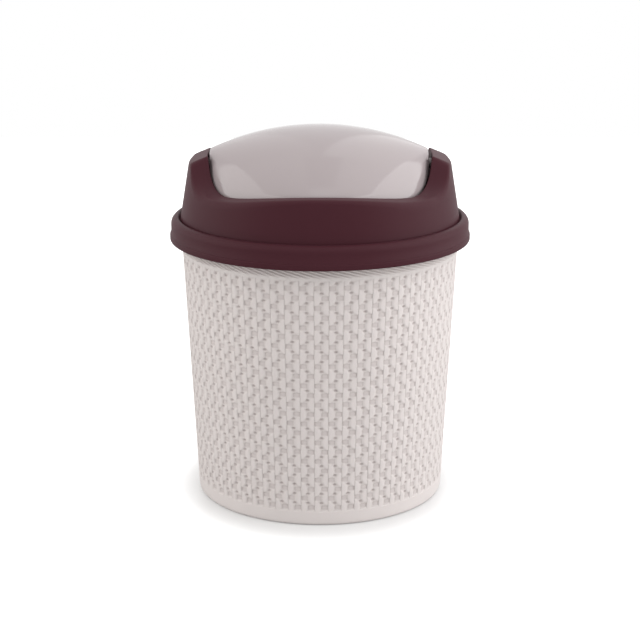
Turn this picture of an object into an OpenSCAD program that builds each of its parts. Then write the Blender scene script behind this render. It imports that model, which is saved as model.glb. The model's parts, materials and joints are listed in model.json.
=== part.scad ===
// Countertop bin: tapered bucket, lift-off collar and a domed flap that swings both ways.
// Origin: centre of the base on the worktop. +Z is up, -Y is the front, the flap turns about X.
// All sizes are millimetres.

/* [Bucket] */
// Outer radius of the bucket at the worktop
base_r = 68.9; // [60:0.5:80]
// Height from the worktop to the top face of the bucket rim
rim_z = 153.0; // [140:0.5:170]
// Draft angle of the bucket wall
bin_draft = 2.9; // [2:0.1:4]
// Wall thickness of the bucket
bin_wall = 1.8; // [1.4:0.1:2.6]
// Thickness of the bucket floor
floor_t = 2.2; // [1.6:0.1:4]
// Rounding of the edge between wall and base
base_round = 2.0; // [1:0.25:4]
// Width of the flat foot ring under the wall
foot_w = 8.0; // [5:0.5:14]
// Depth of the shallow recess inside the foot ring
foot_recess = 1.2; // [0.6:0.1:2]
// Reach of the rim outside the wall
rim_reach = 3.2; // [2.6:0.1:4]
// Depth of the lip turned down from the rim
rim_lip_drop = 5.5; // [4:0.25:7]
// Thickness of the lip turned down from the rim
rim_lip_t = 1.4; // [1:0.1:1.8]
// Rounding of the rim's outer top edge
rim_round = 0.6; // [0.3:0.1:1]

/* [Rope band] */
// Height of the plain wall between the rim and the centre of the raised band
band_drop = 11.6; // [10:0.2:16]
// Height of the raised band
band_h = 6.0; // [4:0.5:8]
// Height that the band stands out of the wall
band_proud = 0.5; // [0.3:0.1:1]

/* [Weave] */
// Number of woven columns round the bucket
weave_columns = 61; // [48:1:72]
// Turn of the first groove between two columns, from the front
weave_start = 3.5; // [0:0.5:5.5]
// Height of one whole step of the weave, from a strand to the next above it
weave_step = 10.67; // [8:0.01:14]
// Height of the lowest strand's middle
weave_first = 10.3; // [9.2:0.1:12]
// Height of the plain foot below the weave
weave_low = 8.0; // [6:0.2:9]
// Width of the plain strip between the weave and the rope band
weave_gap = 1.2; // [0.8:0.1:2]
// Depth of the low places between the strands
weave_depth = 0.45; // [0.2:0.05:0.6]
// Place of a strand's crown between its groove and the middle of the column, as a part of that width
weave_crown = 0.44; // [0.35:0.01:0.55]
// Sway of a column's middle line to either side, as a part of the same width
weave_sway = 0.1; // [0:0.01:0.2]

/* [Collar skirt] */
// Radial gap between the bucket rim and the skirt
lid_gap = 0.3; // [0.2:0.05:0.6]
// Wall thickness of the collar
lid_wall = 1.8; // [1.4:0.1:2.2]
// Depth of the skirt below the rim's top face
skirt_drop = 9.2; // [8:0.2:11]
// Height of the bead round the skirt's lower edge
bead_h = 3.4; // [2:0.2:4]
// Height that the bead stands out of the skirt
bead_proud = 0.7; // [0.4:0.1:1]
// Rise of the rounded shoulder above the rim's top face
shoulder_rise = 3.5; // [3:0.25:5]
// Width of the valley between the shoulder and the crown
valley_w = 1.3; // [0.8:0.1:2]
// Depth of that valley below the top of the shoulder
valley_d = 1.7; // [1:0.1:2.5]

/* [Collar crown] */
// Step from the skirt's outer face in to the foot of the crown
crown_step = 5.15; // [4.5:0.05:6.5]
// Draft angle of the crown
crown_draft = 9.4; // [6:0.2:11]
// Height of the deck above the rim, at the front centre
deck_rise = 25.6; // [22:0.5:30]
// Radius of the deck's side-to-side curve
deck_arc_r = 220; // [180:5:300]
// Height of the lowest part of the deck above the rim
dip_rise = 20.7; // [19:0.1:21.5]
// Height of the ears above the rim, measured on the centre line of their arch
ear_rise = 50.1; // [48:0.1:52]
// Radius of the ears' arch
ear_arc_r = 165; // [150:1:190]
// Half of the ear's length where its flank starts, front to back
ear_half_len = 15.8; // [13:0.2:18]
// Radius of the hollow flank of an ear
flank_r = 27.5; // [24:0.5:32]
// Rounding of the ear's outer top edge
ear_round = 1.4; // [1:0.1:3]
// Width from the foot of the crown in to the flap opening, front and back
deck_w = 11.4; // [10.5:0.1:13.5]
// Width from the foot of the crown in to the flat inner face of each ear
ear_w = 15.9; // [15:0.1:18]
// Distance that the opening's oval would pass the flat inner face of an ear
side_bow = 1.0; // [0.8:0.1:3]
// Depth of the wall that hangs round the opening, below the lowest deck
throat_drop = 5.2; // [3:0.2:8]
// Rounding of the crown's outer edge where the deck dips
deck_round = 3.8; // [2:0.1:4]
// Rounding between an ear's flank and its top
flank_soft = 4.0; // [1.5:0.25:5]
// Rounding between a flank and the deck
deck_soft = 1.2; // [0.6:0.1:2]

/* [Swing flap] */
// Gap between the flap and the opening, front and back
flap_gap = 1.0; // [0.9:0.1:1.6]
// Gap between the flap and each ear, with the flap centred
side_gap = 1.3; // [1:0.1:1.8]
// Sideways shift of the flap on its pins
side_shift = 0.5; // [0:0.1:0.7]
// Rise of the dome above the deck at the front centre
dome_rise = 26.8; // [22:0.1:30]
// Radius of the dome's ridge, side to side
ridge_r = 148; // [135:1:160]
// Rise of the flap's edge towards the ears
edge_lift = 12.1; // [10:0.1:13]
// Wall thickness of the flap
flap_wall = 1.6; // [1.2:0.1:2]
// Depth of the rim turned down round the flap
flap_rim = 3.0; // [2:0.1:3.2]

/* [Pivot] */
// Depth of the pivot axis below the top of an ear
pivot_depth = 6.4; // [6:0.1:8]
// Radius of the pivot pins
pin_r = 2.5; // [2:0.1:3]
// Radial running clearance of a pin in its boss
pin_play = 0.05; // [0.03:0.01:0.09]
// Radius of the head inside the flap
pin_head_r = 4.0; // [3.6:0.1:5]
// Thickness of the head
pin_head_t = 1.5; // [1:0.1:2]
// Radius of the bearing boss inside each ear
boss_r = 4.2; // [3.9:0.1:4.6]
// Length of the bearing boss, with the ear's wall
boss_len = 4.8; // [4:0.2:6]
// Length that the pin stops short of the boss's end
pin_short = 0.6; // [0.3:0.1:1]
// Thickness of the flap's end cheeks
cheek_t = 2.0; // [1.6:0.1:2.6]
// Radius of a cheek round its pin
cheek_r = 8.0; // [6.5:0.25:9]

/* [Closing weight] */
// Radius of the steel bar
bar_r = 3.0; // [2.5:0.1:3.5]
// Length of the steel bar
bar_len = 84.0; // [76:1:96]
// Depth of the bar's axis below the pivot
bar_drop = 13.5; // [12:0.25:15]
// Distance from the middle to each hanger rib
hanger_x = 30.0; // [24:0.5:36]
// Thickness of a hanger rib
hanger_t = 2.0; // [1.6:0.1:3]
// Wall of the eye round the bar
eye_wall = 1.8; // [1.4:0.1:2.4]

/* [Hidden] */

// Facets of round solids in the preview
$fn = 96;
// Overlap that makes joined solids one
bite = 0.2;
// Span that is larger than the whole object
far = 400;
// Steps round the flap's outline and from its middle to its edge
flap_turns = 72;
flap_rings = 8;
// Steps round the crown, across its deck and round its outer edge
crown_turns = 120;
deck_steps = 3;
round_steps = 4;
// Step used to measure the slope of a face
slope_step = 0.05;
// Rounding between the opening's flat sides and its oval
corner_soft = 0.5;
// Power with which the outer edge's rounding fades from the dips to the ears
round_fade = 3;
// Power of the edge's rise towards the ears
lift_power = 11;

// Bucket
bin_slope = tan(bin_draft);
rim_outer_r = base_r + rim_z * bin_slope + rim_reach;
floor_top = foot_recess + floor_t;
band_low = rim_z - band_drop - band_h / 2;
band_high = band_low + band_h;

// Weave
weave_high = band_low - weave_gap;
weave_lines = 2 * weave_columns;
// Least height between a strand's middle and the end of the weave
weave_margin = 0.8;
weave_last = floor((weave_high - weave_margin - weave_first) / (weave_step / 2));
// Depth of the seat that the weave lies in
weave_seat = weave_depth + bite;

// Collar
skirt_in_r = rim_outer_r + lid_gap;
skirt_out_r = skirt_in_r + lid_wall;
skirt_bottom = rim_z - skirt_drop;
shoulder_top = rim_z + shoulder_rise;
valley_z = shoulder_top - valley_d;
crown_r = skirt_out_r - crown_step;
shoulder_r = crown_r + valley_w;
shoulder_round = skirt_out_r - shoulder_r;
crown_slope = tan(crown_draft);
opening_r = crown_r - deck_w;
opening_half_w = crown_r - ear_w;
deck_z = rim_z + deck_rise;
dip_z = rim_z + dip_rise;
ear_z = rim_z + ear_rise;
ear_arc_z = ear_z - ear_arc_r;
flank_z = dip_z + flank_r;
throat_bottom = dip_z - throat_drop;
crown_bottom = (rim_z + valley_z) / 2;
// Part of the flank's radius over which the flank still rises
flank_reach = 0.995 * flank_r;

// Height of an ear's top beside the opening, where its flank begins
ear_side_z = ear_arc_z + sqrt(pow(ear_arc_r, 2) - pow(opening_half_w, 2));
// Distance from the middle to the axis of the hollow flank
flank_y = ear_half_len + sqrt(pow(flank_r, 2) - pow(flank_z - ear_side_z, 2));

// Flap
flap_r = opening_r - flap_gap;
flap_half_w = opening_half_w - side_gap;
dome_z = deck_z + dome_rise;
pivot_z = ear_side_z - pivot_depth;
cheek_out_x = flap_half_w - flap_wall / 2;
bar_z = pivot_z - bar_drop;

// Drop of a circle of radius r, at the distance d from its top
function arc_drop(d, r) = r - sqrt(r * r - d * d);
// Outer radius of the bucket wall at height z
function bin_r(z) = base_r + z * bin_slope;
// Outer radius of the crown at height z
function crown_out_r(z) = crown_r - (z - valley_z) * crown_slope;
// Points of an arc in a profile
function arc_points(c, r, a0, a1, n = 10) =
    [for (i = [0 : n]) let (a = a0 + (a1 - a0) * i / n) c + r * [cos(a), sin(a)]];
// Larger and smaller of two values, blended over the width k where they are close
function soft_max(a, b, k) = (a + b + sqrt(pow(a - b, 2) + k * k)) / 2;
function soft_min(a, b, k) = (a + b - sqrt(pow(a - b, 2) + k * k)) / 2;
// Radius in the direction a of an oval that is front_r long from the middle and cut flat at half_w
function outline_r(a, half_w, front_r) =
    soft_min(
        half_w / max(abs(cos(a)), 0.001),
        1 / sqrt(pow(cos(a) / (half_w + side_bow), 2) + pow(sin(a) / front_r, 2)),
        corner_soft
    );

// Height of an ear's flank at y
function flank_top(y) = flank_z - sqrt(pow(flank_r, 2) - pow(max(0, min(flank_y - abs(y), flank_reach)), 2));
// Height of the arch that the ears' tops lie on
function ear_top(x) = ear_arc_z + sqrt(pow(ear_arc_r, 2) - x * x);
// Height of the crown's upper face
function crown_top(x, y) =
    soft_max(
        deck_z - arc_drop(x, deck_arc_r),
        soft_min(flank_top(y), ear_top(x), flank_soft),
        deck_soft
    );
// The same height at the radius r in the direction a
function crown_at(r, a) = crown_top(r * cos(a), r * sin(a));
// Height of the crown's under face
function crown_under(r, a) =
    let (
        x = r * cos(a),
        y = r * sin(a),
        sx = (crown_top(x + slope_step, y) - crown_top(x - slope_step, y)) / (2 * slope_step),
        sy = (crown_top(x, y + slope_step) - crown_top(x, y - slope_step)) / (2 * slope_step)
    )
    crown_top(x, y) - lid_wall * sqrt(1 + sx * sx + sy * sy);
// Radius at which the crown's outer wall meets its upper face, found in a few rounds
function edge_r(a, n = 8) = n == 0 ? crown_r : crown_out_r(crown_at(edge_r(a, n - 1), a));
// Radius at which the crown's inner wall meets its under face
function inner_edge_r(a, n = 8) =
    n == 0 ? crown_r - lid_wall : crown_out_r(crown_under(inner_edge_r(a, n - 1), a)) - lid_wall;
// Rounding of the outer edge: large where the deck dips and small on the ears
function edge_round(z) =
    let (up = min(1, max(0, (z - dip_z) / (ear_side_z - dip_z))))
    ear_round + (deck_round - ear_round) * pow(1 - up, round_fade);
// Point at the fraction t of the curve from p to q that leans towards the corner c
function corner_point(p, c, q, t) = (1 - t) * (1 - t) * p + 2 * t * (1 - t) * c + t * t * q;
// Place of a profile point [radius, height] in the direction a
function turned(p, a) = [p[0] * cos(a), p[0] * sin(a), p[1]];

// Height of the dome's ridge at x
function ridge_z(x) = dome_z - arc_drop(x, ridge_r);
// Height of the flap's edge at x
function edge_z(x) = deck_z - arc_drop(x, deck_arc_r) + edge_lift * pow(abs(x) / flap_half_w, lift_power);
// Half of the flap's length, front to back, at x
function flap_half_len(x) = flap_r * sqrt(1 - pow(x / (flap_half_w + side_bow), 2));
// Radius of the dome's front-to-back curve at x
function dome_arc_r(x) =
    let (m = flap_half_len(x), d = ridge_z(x) - edge_z(x))
    (m * m + d * d) / (2 * d);
// Height of the flap's outer face
function dome(x, y) = ridge_z(x) - arc_drop(y, dome_arc_r(x));
// Upright thickness that gives the wall its true thickness on the slope
function upright_t(x, y) =
    let (
        sx = (dome(x + slope_step, y) - dome(x - slope_step, y)) / (2 * slope_step),
        sy = (dome(x, y + slope_step) - dome(x, y - slope_step)) / (2 * slope_step)
    )
    flap_wall * sqrt(1 + sx * sx + sy * sy);
// Radius of the flap's outline in the direction a, drawn in by inset
function flap_outline_r(a, inset = 0) = outline_r(a, flap_half_w - inset, flap_r - inset);

// Mesh of stacked rings that is closed by a point at each end
module ringed_shell(rings, first, last) {
    n = len(rings[0]);
    m = len(rings);
    points = concat([first], [for (ring = rings) each ring], [last]);
    faces = concat(
        [for (i = [0 : n - 1]) [0, 1 + (i + 1) % n, 1 + i]],
        [for (j = [0 : m - 2], i = [0 : n - 1]) [1 + j * n + i, 1 + j * n + (i + 1) % n, 1 + (j + 1) * n + i]],
        [for (j = [0 : m - 2], i = [0 : n - 1])
            [1 + j * n + (i + 1) % n, 1 + (j + 1) * n + (i + 1) % n, 1 + (j + 1) * n + i]],
        [for (i = [0 : n - 1]) [1 + m * n, 1 + (m - 1) * n + i, 1 + (m - 1) * n + (i + 1) % n]]
    );
    polyhedron(points = points, faces = faces);
}

// Mesh of rings round a hollow, whose last ring joins the first
module ring_loop(rings) {
    n = len(rings[0]);
    m = len(rings);
    points = [for (ring = rings) each ring];
    faces = concat(
        [for (j = [0 : m - 1], i = [0 : n - 1])
            [j * n + i, ((j + 1) % m) * n + i, j * n + (i + 1) % n]],
        [for (j = [0 : m - 1], i = [0 : n - 1])
            [j * n + (i + 1) % n, ((j + 1) % m) * n + i, ((j + 1) % m) * n + (i + 1) % n]]
    );
    polyhedron(points = points, faces = faces);
}

// Point of the woven face: line counts half columns from the first groove, depth goes in from the wall
function weave_point(line, z, depth) =
    turned([bin_r(z) - depth, z], weave_start + line * 360 / weave_lines - 90);
// Sideways shift of a line at a row: the columns' middle lines lean away from the strand beside them
function weave_shift(line, row) = line % 2 == 0 ? 0 : row % 2 == 0 ? weave_sway : -weave_sway;

// Woven face as a closed sleeve. Each half column has a strand on every other row, and the strands of
// the next half column lie one row higher. A strand is a six-cornered patch that rises to its crown.
module weave_sleeve() {
    heights = concat(
        [weave_low - bite],
        [for (row = [0 : weave_last]) weave_first + row * weave_step / 2],
        [weave_high + bite]
    );
    rings = len(heights);
    strands = [for (line = [0 : weave_lines - 1], row = [line % 2 : 2 : weave_last]) [line, row]];
    lows = [for (k = [0 : rings - 1], line = [0 : weave_lines - 1])
        weave_point(line + weave_shift(line, k + 1), heights[k], weave_depth)];
    backs = [for (z = [heights[0], heights[rings - 1]], line = [0 : weave_lines - 1])
        weave_point(line, z, weave_seat + bite)];
    crowns = [for (s = strands)
        let (across = s[0] % 2 == 0 ? weave_crown : 1 - weave_crown)
        weave_point(s[0] + across, heights[s[1] + 1], 0)];
    next = [for (line = [0 : weave_lines - 1]) (line + 1) % weave_lines];
    back = rings * weave_lines;
    crown = back + 2 * weave_lines;
    front_top = (rings - 1) * weave_lines;
    back_top = back + weave_lines;
    patches = [for (k = [0 : len(strands) - 1])
        let (
            line = strands[k][0],
            low = strands[k][1] * weave_lines,
            mid = low + weave_lines,
            high = mid + weave_lines,
            edge = [low + line, mid + line, high + line, high + next[line], mid + next[line], low + next[line]]
        )
        for (i = [0 : 5]) [crown + k, edge[i], edge[(i + 1) % 6]]];
    // Plain places under the first strand and over the last one, where a half column starts or ends between rows
    ends = [for (line = [0 : weave_lines - 1])
        let (
            first = line % 2 == 1 ? [0] : [],
            last = (weave_last - line) % 2 != 0 ? [weave_last + 1] : []
        )
        for (k = concat(first, last))
        let (low = k * weave_lines, high = low + weave_lines)
        each [
            [low + line, high + line, high + next[line]],
            [low + line, high + next[line], low + next[line]]
        ]];
    caps = [for (i = [0 : weave_lines - 1])
        let (j = next[i])
        each [
            [i, j, back + j],
            [i, back + j, back + i],
            [front_top + i, back_top + i, back_top + j],
            [front_top + i, back_top + j, front_top + j],
            [back + i, back + j, back_top + j],
            [back + i, back_top + j, back_top + i]
        ]];
    polyhedron(points = concat(lows, backs, crowns), faces = concat(patches, ends, caps));
}

module bucket_shell() {
    wall_top = rim_z - bin_wall;
    lip_in_r = rim_outer_r - rim_lip_t;
    lip_z = rim_z - rim_lip_drop;
    inner_low = floor_top + base_round;
    rotate_extrude()
    polygon(concat(
        [[0, foot_recess], [base_r - base_round - foot_w, foot_recess], [base_r - base_round - foot_w, 0]],
        arc_points([base_r - base_round, base_round], base_round, -90, 0, 6),
        [
            [bin_r(weave_low), weave_low],
            [bin_r(weave_low) - weave_seat, weave_low],
            [bin_r(weave_high) - weave_seat, weave_high],
            [bin_r(weave_high), weave_high],
            [bin_r(band_low), band_low],
            [bin_r(band_low) + band_proud, band_low + band_proud],
            [bin_r(band_high) + band_proud, band_high - band_proud],
            [bin_r(band_high), band_high],
            [bin_r(wall_top), wall_top],
            [lip_in_r, wall_top],
            [lip_in_r, lip_z],
            [rim_outer_r, lip_z]
        ],
        arc_points([rim_outer_r - rim_round, rim_z - rim_round], rim_round, 0, 90, 4),
        [
            [bin_r(rim_z) - bin_wall, rim_z],
            [bin_r(inner_low) - bin_wall, inner_low]
        ],
        arc_points([bin_r(inner_low) - bin_wall - base_round, inner_low], base_round, 0, -90, 6),
        [[0, floor_top]]
    ));
}

module bin_bucket() {
    color("linen") {
        bucket_shell();
        weave_sleeve();
    }
}

// Half profile of the crown in the direction a: up the outer wall, over the deck and back underneath
function crown_profile(a) =
    let (
        edge = edge_r(a),
        top = crown_at(edge, a),
        q = edge_round(top),
        wall_end = [crown_out_r(top - q), top - q],
        deck_end = [edge - q, crown_at(edge - q, a)],
        open_r = outline_r(a, opening_half_w, opening_r),
        under_r = inner_edge_r(a)
    )
    concat(
        [[crown_out_r(crown_bottom), crown_bottom]],
        [for (i = [0 : round_steps]) corner_point(wall_end, [edge, top], deck_end, i / round_steps)],
        [for (i = [1 : deck_steps]) let (r = edge - q + (open_r - edge + q) * i / deck_steps) [r, crown_at(r, a)]],
        [[open_r, throat_bottom], [open_r + lid_wall, throat_bottom]],
        [for (i = [0 : deck_steps])
            let (r = open_r + lid_wall + (under_r - open_r - lid_wall) * i / deck_steps)
            [r, crown_under(r, a)]],
        [[crown_out_r(crown_bottom) - lid_wall, crown_bottom]]
    );

module collar_crown() {
    angles = [for (i = [0 : crown_turns - 1]) 360 * i / crown_turns];
    profiles = [for (a = angles) crown_profile(a)];
    ring_loop([for (j = [0 : len(profiles[0]) - 1])
        [for (i = [0 : crown_turns - 1]) turned(profiles[i][j], angles[i])]]);
}

module collar_skirt() {
    bead_top = skirt_bottom + bead_h;
    seat_in_r = crown_out_r(rim_z) - lid_wall - bite;
    rotate_extrude()
    polygon(concat(
        [[skirt_in_r, skirt_bottom]],
        arc_points([skirt_out_r, skirt_bottom + bead_proud], bead_proud, -90, 0, 4),
        arc_points([skirt_out_r, bead_top - bead_proud], bead_proud, 0, 90, 4),
        arc_points([shoulder_r, shoulder_top - shoulder_round], shoulder_round, 0, 90, 10),
        [
            [crown_r - valley_w / 2, valley_z - valley_d / 2],
            [seat_in_r, valley_z - valley_d / 2],
            [seat_in_r, rim_z],
            [skirt_in_r, rim_z]
        ]
    ));
}

module lid_collar() {
    boss_start = opening_half_w + lid_wall / 2;
    boss_end = opening_half_w + boss_len;
    color("#4a2b2f")
    difference() {
        union() {
            collar_skirt();
            collar_crown();
            for (side = [-1, 1]) {
                translate([side * (boss_start + boss_end) / 2, 0, pivot_z])
                rotate([0, 90, 0])
                cylinder(r = boss_r, h = boss_end - boss_start, center = true);
            }
        }
        translate([0, 0, pivot_z])
        rotate([0, 90, 0])
        cylinder(r = pin_r + pin_play, h = 2 * (boss_end + bite), center = true);
    }
}

module flap_shell() {
    angles = [for (i = [0 : flap_turns - 1]) 360 * i / flap_turns];
    top = [for (j = [1 : flap_rings]) [for (a = angles)
        let (r = flap_outline_r(a) * j / flap_rings, x = r * cos(a), y = r * sin(a))
        [x, y, dome(x, y)]]];
    outer_low = [for (a = angles)
        let (r = flap_outline_r(a), x = r * cos(a), y = r * sin(a))
        [x, y, dome(x, y) - flap_rim]];
    inner_low = [for (a = angles)
        let (r = flap_outline_r(a), s = flap_outline_r(a, flap_wall), x = r * cos(a), y = r * sin(a))
        [s * cos(a), s * sin(a), dome(x, y) - flap_rim]];
    under = [for (j = [flap_rings : -1 : 1]) [for (a = angles)
        let (r = flap_outline_r(a, flap_wall) * j / flap_rings, x = r * cos(a), y = r * sin(a))
        [x, y, dome(x, y) - upright_t(x, y)]]];
    ringed_shell(
        concat(top, [outer_low], [inner_low], under),
        [0, 0, dome(0, 0)],
        [0, 0, dome(0, 0) - upright_t(0, 0)]
    );
}

// Plate across the flap at x, cut from the underside of the dome down to a round end
module hung_plate(x, t, end_r, end_z, top_half_len) {
    slices = 6;
    sag = flap_wall / 2;
    top_y = [for (i = [-slices : slices]) top_half_len * i / slices];
    translate([x - t / 2, 0, 0])
    rotate([90, 0, 90])
    linear_extrude(t)
    polygon(concat(
        arc_points([0, end_z], end_r, 180, 360, 24),
        [for (i = [len(top_y) - 1 : -1 : 0]) [top_y[i], dome(x, top_y[i]) - sag]]
    ));
}

module swing_flap() {
    color("#c4bab8")
    translate([-side_shift, 0, 0])
    difference() {
        union() {
            flap_shell();
            for (side = [-1, 1]) {
                hung_plate(side * (cheek_out_x - cheek_t / 2), cheek_t, cheek_r, pivot_z, cheek_r + 2 * cheek_t);
                hung_plate(side * hanger_x, hanger_t, bar_r + eye_wall, bar_z, bar_r + eye_wall + 4 * hanger_t);
            }
        }
        translate([0, 0, pivot_z])
        rotate([0, 90, 0])
        cylinder(r = pin_r, h = far, center = true);
        translate([0, 0, bar_z])
        rotate([0, 90, 0])
        cylinder(r = bar_r, h = 2 * (hanger_x + hanger_t), center = true);
    }
}

// Headed pin pushed through a cheek from inside; side is -1 for the left pin and 1 for the right one
module pivot_pin(side) {
    head_x = cheek_out_x - cheek_t - pin_head_t;
    tip_x = opening_half_w + boss_len - pin_short;
    color("#b5aba9")
    translate([0, 0, pivot_z])
    rotate([0, side * 90, 0])
    translate([0, 0, head_x - side * side_shift]) {
        cylinder(r = pin_head_r, h = pin_head_t);
        cylinder(r = pin_r, h = tip_x - head_x);
    }
}

module closing_weight() {
    color("silver")
    translate([-side_shift, 0, bar_z])
    rotate([0, 90, 0])
    cylinder(r = bar_r, h = bar_len, center = true);
}

bin_bucket();
lid_collar();
swing_flap();
pivot_pin(-1);  // pivot_pin_left
pivot_pin(1);  // pivot_pin_right
closing_weight();
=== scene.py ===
"""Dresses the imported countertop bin: woven bucket, matt collar, polished swing flap and the studio.

Lengths of the object are millimetres and become metres where a mesh is made.
Those of the finishes and the studio are metres.
+Z is up, -Y is the front, and the flap turns about X.
"""

from __future__ import annotations

import json
import logging
import math
from dataclasses import dataclass, field
from enum import Enum
from typing import Any, Callable, Sequence

import bpy
import numpy as np
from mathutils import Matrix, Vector

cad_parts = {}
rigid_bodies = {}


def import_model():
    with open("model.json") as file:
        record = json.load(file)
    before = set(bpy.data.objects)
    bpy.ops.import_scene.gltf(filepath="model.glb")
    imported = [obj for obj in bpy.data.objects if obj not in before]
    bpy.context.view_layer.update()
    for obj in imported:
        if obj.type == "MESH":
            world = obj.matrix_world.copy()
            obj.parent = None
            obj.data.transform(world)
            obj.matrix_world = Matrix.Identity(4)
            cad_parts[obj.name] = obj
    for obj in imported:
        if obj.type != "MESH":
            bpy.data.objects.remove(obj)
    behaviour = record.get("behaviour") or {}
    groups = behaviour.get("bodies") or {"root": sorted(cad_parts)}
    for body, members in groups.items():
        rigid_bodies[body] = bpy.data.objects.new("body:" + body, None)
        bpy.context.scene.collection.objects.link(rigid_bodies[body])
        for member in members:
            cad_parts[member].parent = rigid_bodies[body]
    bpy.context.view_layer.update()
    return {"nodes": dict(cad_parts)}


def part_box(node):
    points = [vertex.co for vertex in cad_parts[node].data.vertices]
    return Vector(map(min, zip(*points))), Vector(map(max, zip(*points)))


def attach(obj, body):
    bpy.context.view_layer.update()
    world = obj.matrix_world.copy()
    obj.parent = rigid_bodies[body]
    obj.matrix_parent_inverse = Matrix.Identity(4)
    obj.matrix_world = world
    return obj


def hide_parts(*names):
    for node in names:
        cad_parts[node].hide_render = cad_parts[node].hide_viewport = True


LOG = logging.getLogger("bin")
MM = 0.001
TURN = 2.0 * math.pi
SLOPE_STEP = 0.05
NEAR_ZERO = 0.001
SHARP_ANGLE = math.radians(50)
RELIEF_SHARP_ANGLE = math.radians(70)

Array = np.ndarray
Faces = list[Sequence[int]]
Triple = tuple[float, float, float]
Colour = Triple
ProfilePoint = tuple[Array | float, Array | float]

WHITE: Colour = (1.0, 1.0, 1.0)
WARM_WHITE: Colour = (1.0, 0.985, 0.95)
BLACK: Colour = (0.0, 0.0, 0.0)


class Slot(Enum):
    """The record's material slots."""

    BUCKET = "bucket"
    COLLAR = "collar"
    FLAP = "flap"
    PIN = "pin"
    WEIGHT = "weight"


class Body(Enum):
    """The bodies that pieces ride on."""

    BIN = "bin"
    LID = "lid"
    FLAP = "flap"


class Side(Enum):
    """Left and right as seen from the front."""

    LEFT = -1
    RIGHT = 1


# Shader maths


class Value:
    """A shader socket that does arithmetic: each operator adds a Math node."""

    def __init__(self, tree: bpy.types.NodeTree, socket: bpy.types.NodeSocket) -> None:
        """Wraps one output socket of the tree."""
        self.tree = tree
        self.socket = socket

    def math(self, operation: str, *others: Any) -> Value:
        """Adds one Math node.

        Args:
            operation: the Math node's operation.
            others: numbers or values for the sockets after the first.

        Returns:
            The node's output.
        """
        node = self.tree.nodes.new("ShaderNodeMath")
        node.operation = operation
        for place, item in enumerate((self, *others)):
            feed(self.tree, node.inputs[place], item)
        return Value(self.tree, node.outputs[0])

    def _reflected(self, operation: str, first: Any) -> Value:
        """Adds one Math node whose first socket holds a plain number."""
        node = self.tree.nodes.new("ShaderNodeMath")
        node.operation = operation
        feed(self.tree, node.inputs[0], first)
        feed(self.tree, node.inputs[1], self)
        return Value(self.tree, node.outputs[0])

    def __add__(self, other: Any) -> Value:
        """Adds."""
        return self.math("ADD", other)

    def __radd__(self, other: Any) -> Value:
        """Adds, with the number on the left."""
        return self._reflected("ADD", other)

    def __sub__(self, other: Any) -> Value:
        """Subtracts."""
        return self.math("SUBTRACT", other)

    def __rsub__(self, other: Any) -> Value:
        """Subtracts from the number on the left."""
        return self._reflected("SUBTRACT", other)

    def __mul__(self, other: Any) -> Value:
        """Multiplies."""
        return self.math("MULTIPLY", other)

    def __rmul__(self, other: Any) -> Value:
        """Multiplies, with the number on the left."""
        return self._reflected("MULTIPLY", other)

    def clamped(self) -> Value:
        """The value held between 0 and 1."""
        return self.math("MAXIMUM", 0.0).math("MINIMUM", 1.0)

    def spread(self, width: float) -> Value:
        """A noise from 0 to 1 moved to lie about 0 and scaled to a width."""
        return (self - 0.5) * width


def feed(tree: bpy.types.NodeTree, socket: bpy.types.NodeSocket, item: Any) -> None:
    """Links a value to a socket, or sets the socket to a number or colour.

    Args:
        tree: the node tree that holds both.
        socket: the input to fill.
        item: a Value, a number, or a colour or vector of three numbers.
    """
    if isinstance(item, Value):
        tree.links.new(item.socket, socket)
    elif isinstance(item, tuple):
        wide = len(socket.default_value) > len(item)
        socket.default_value = (*item, 1.0) if wide else item
    else:
        socket.default_value = item


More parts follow.
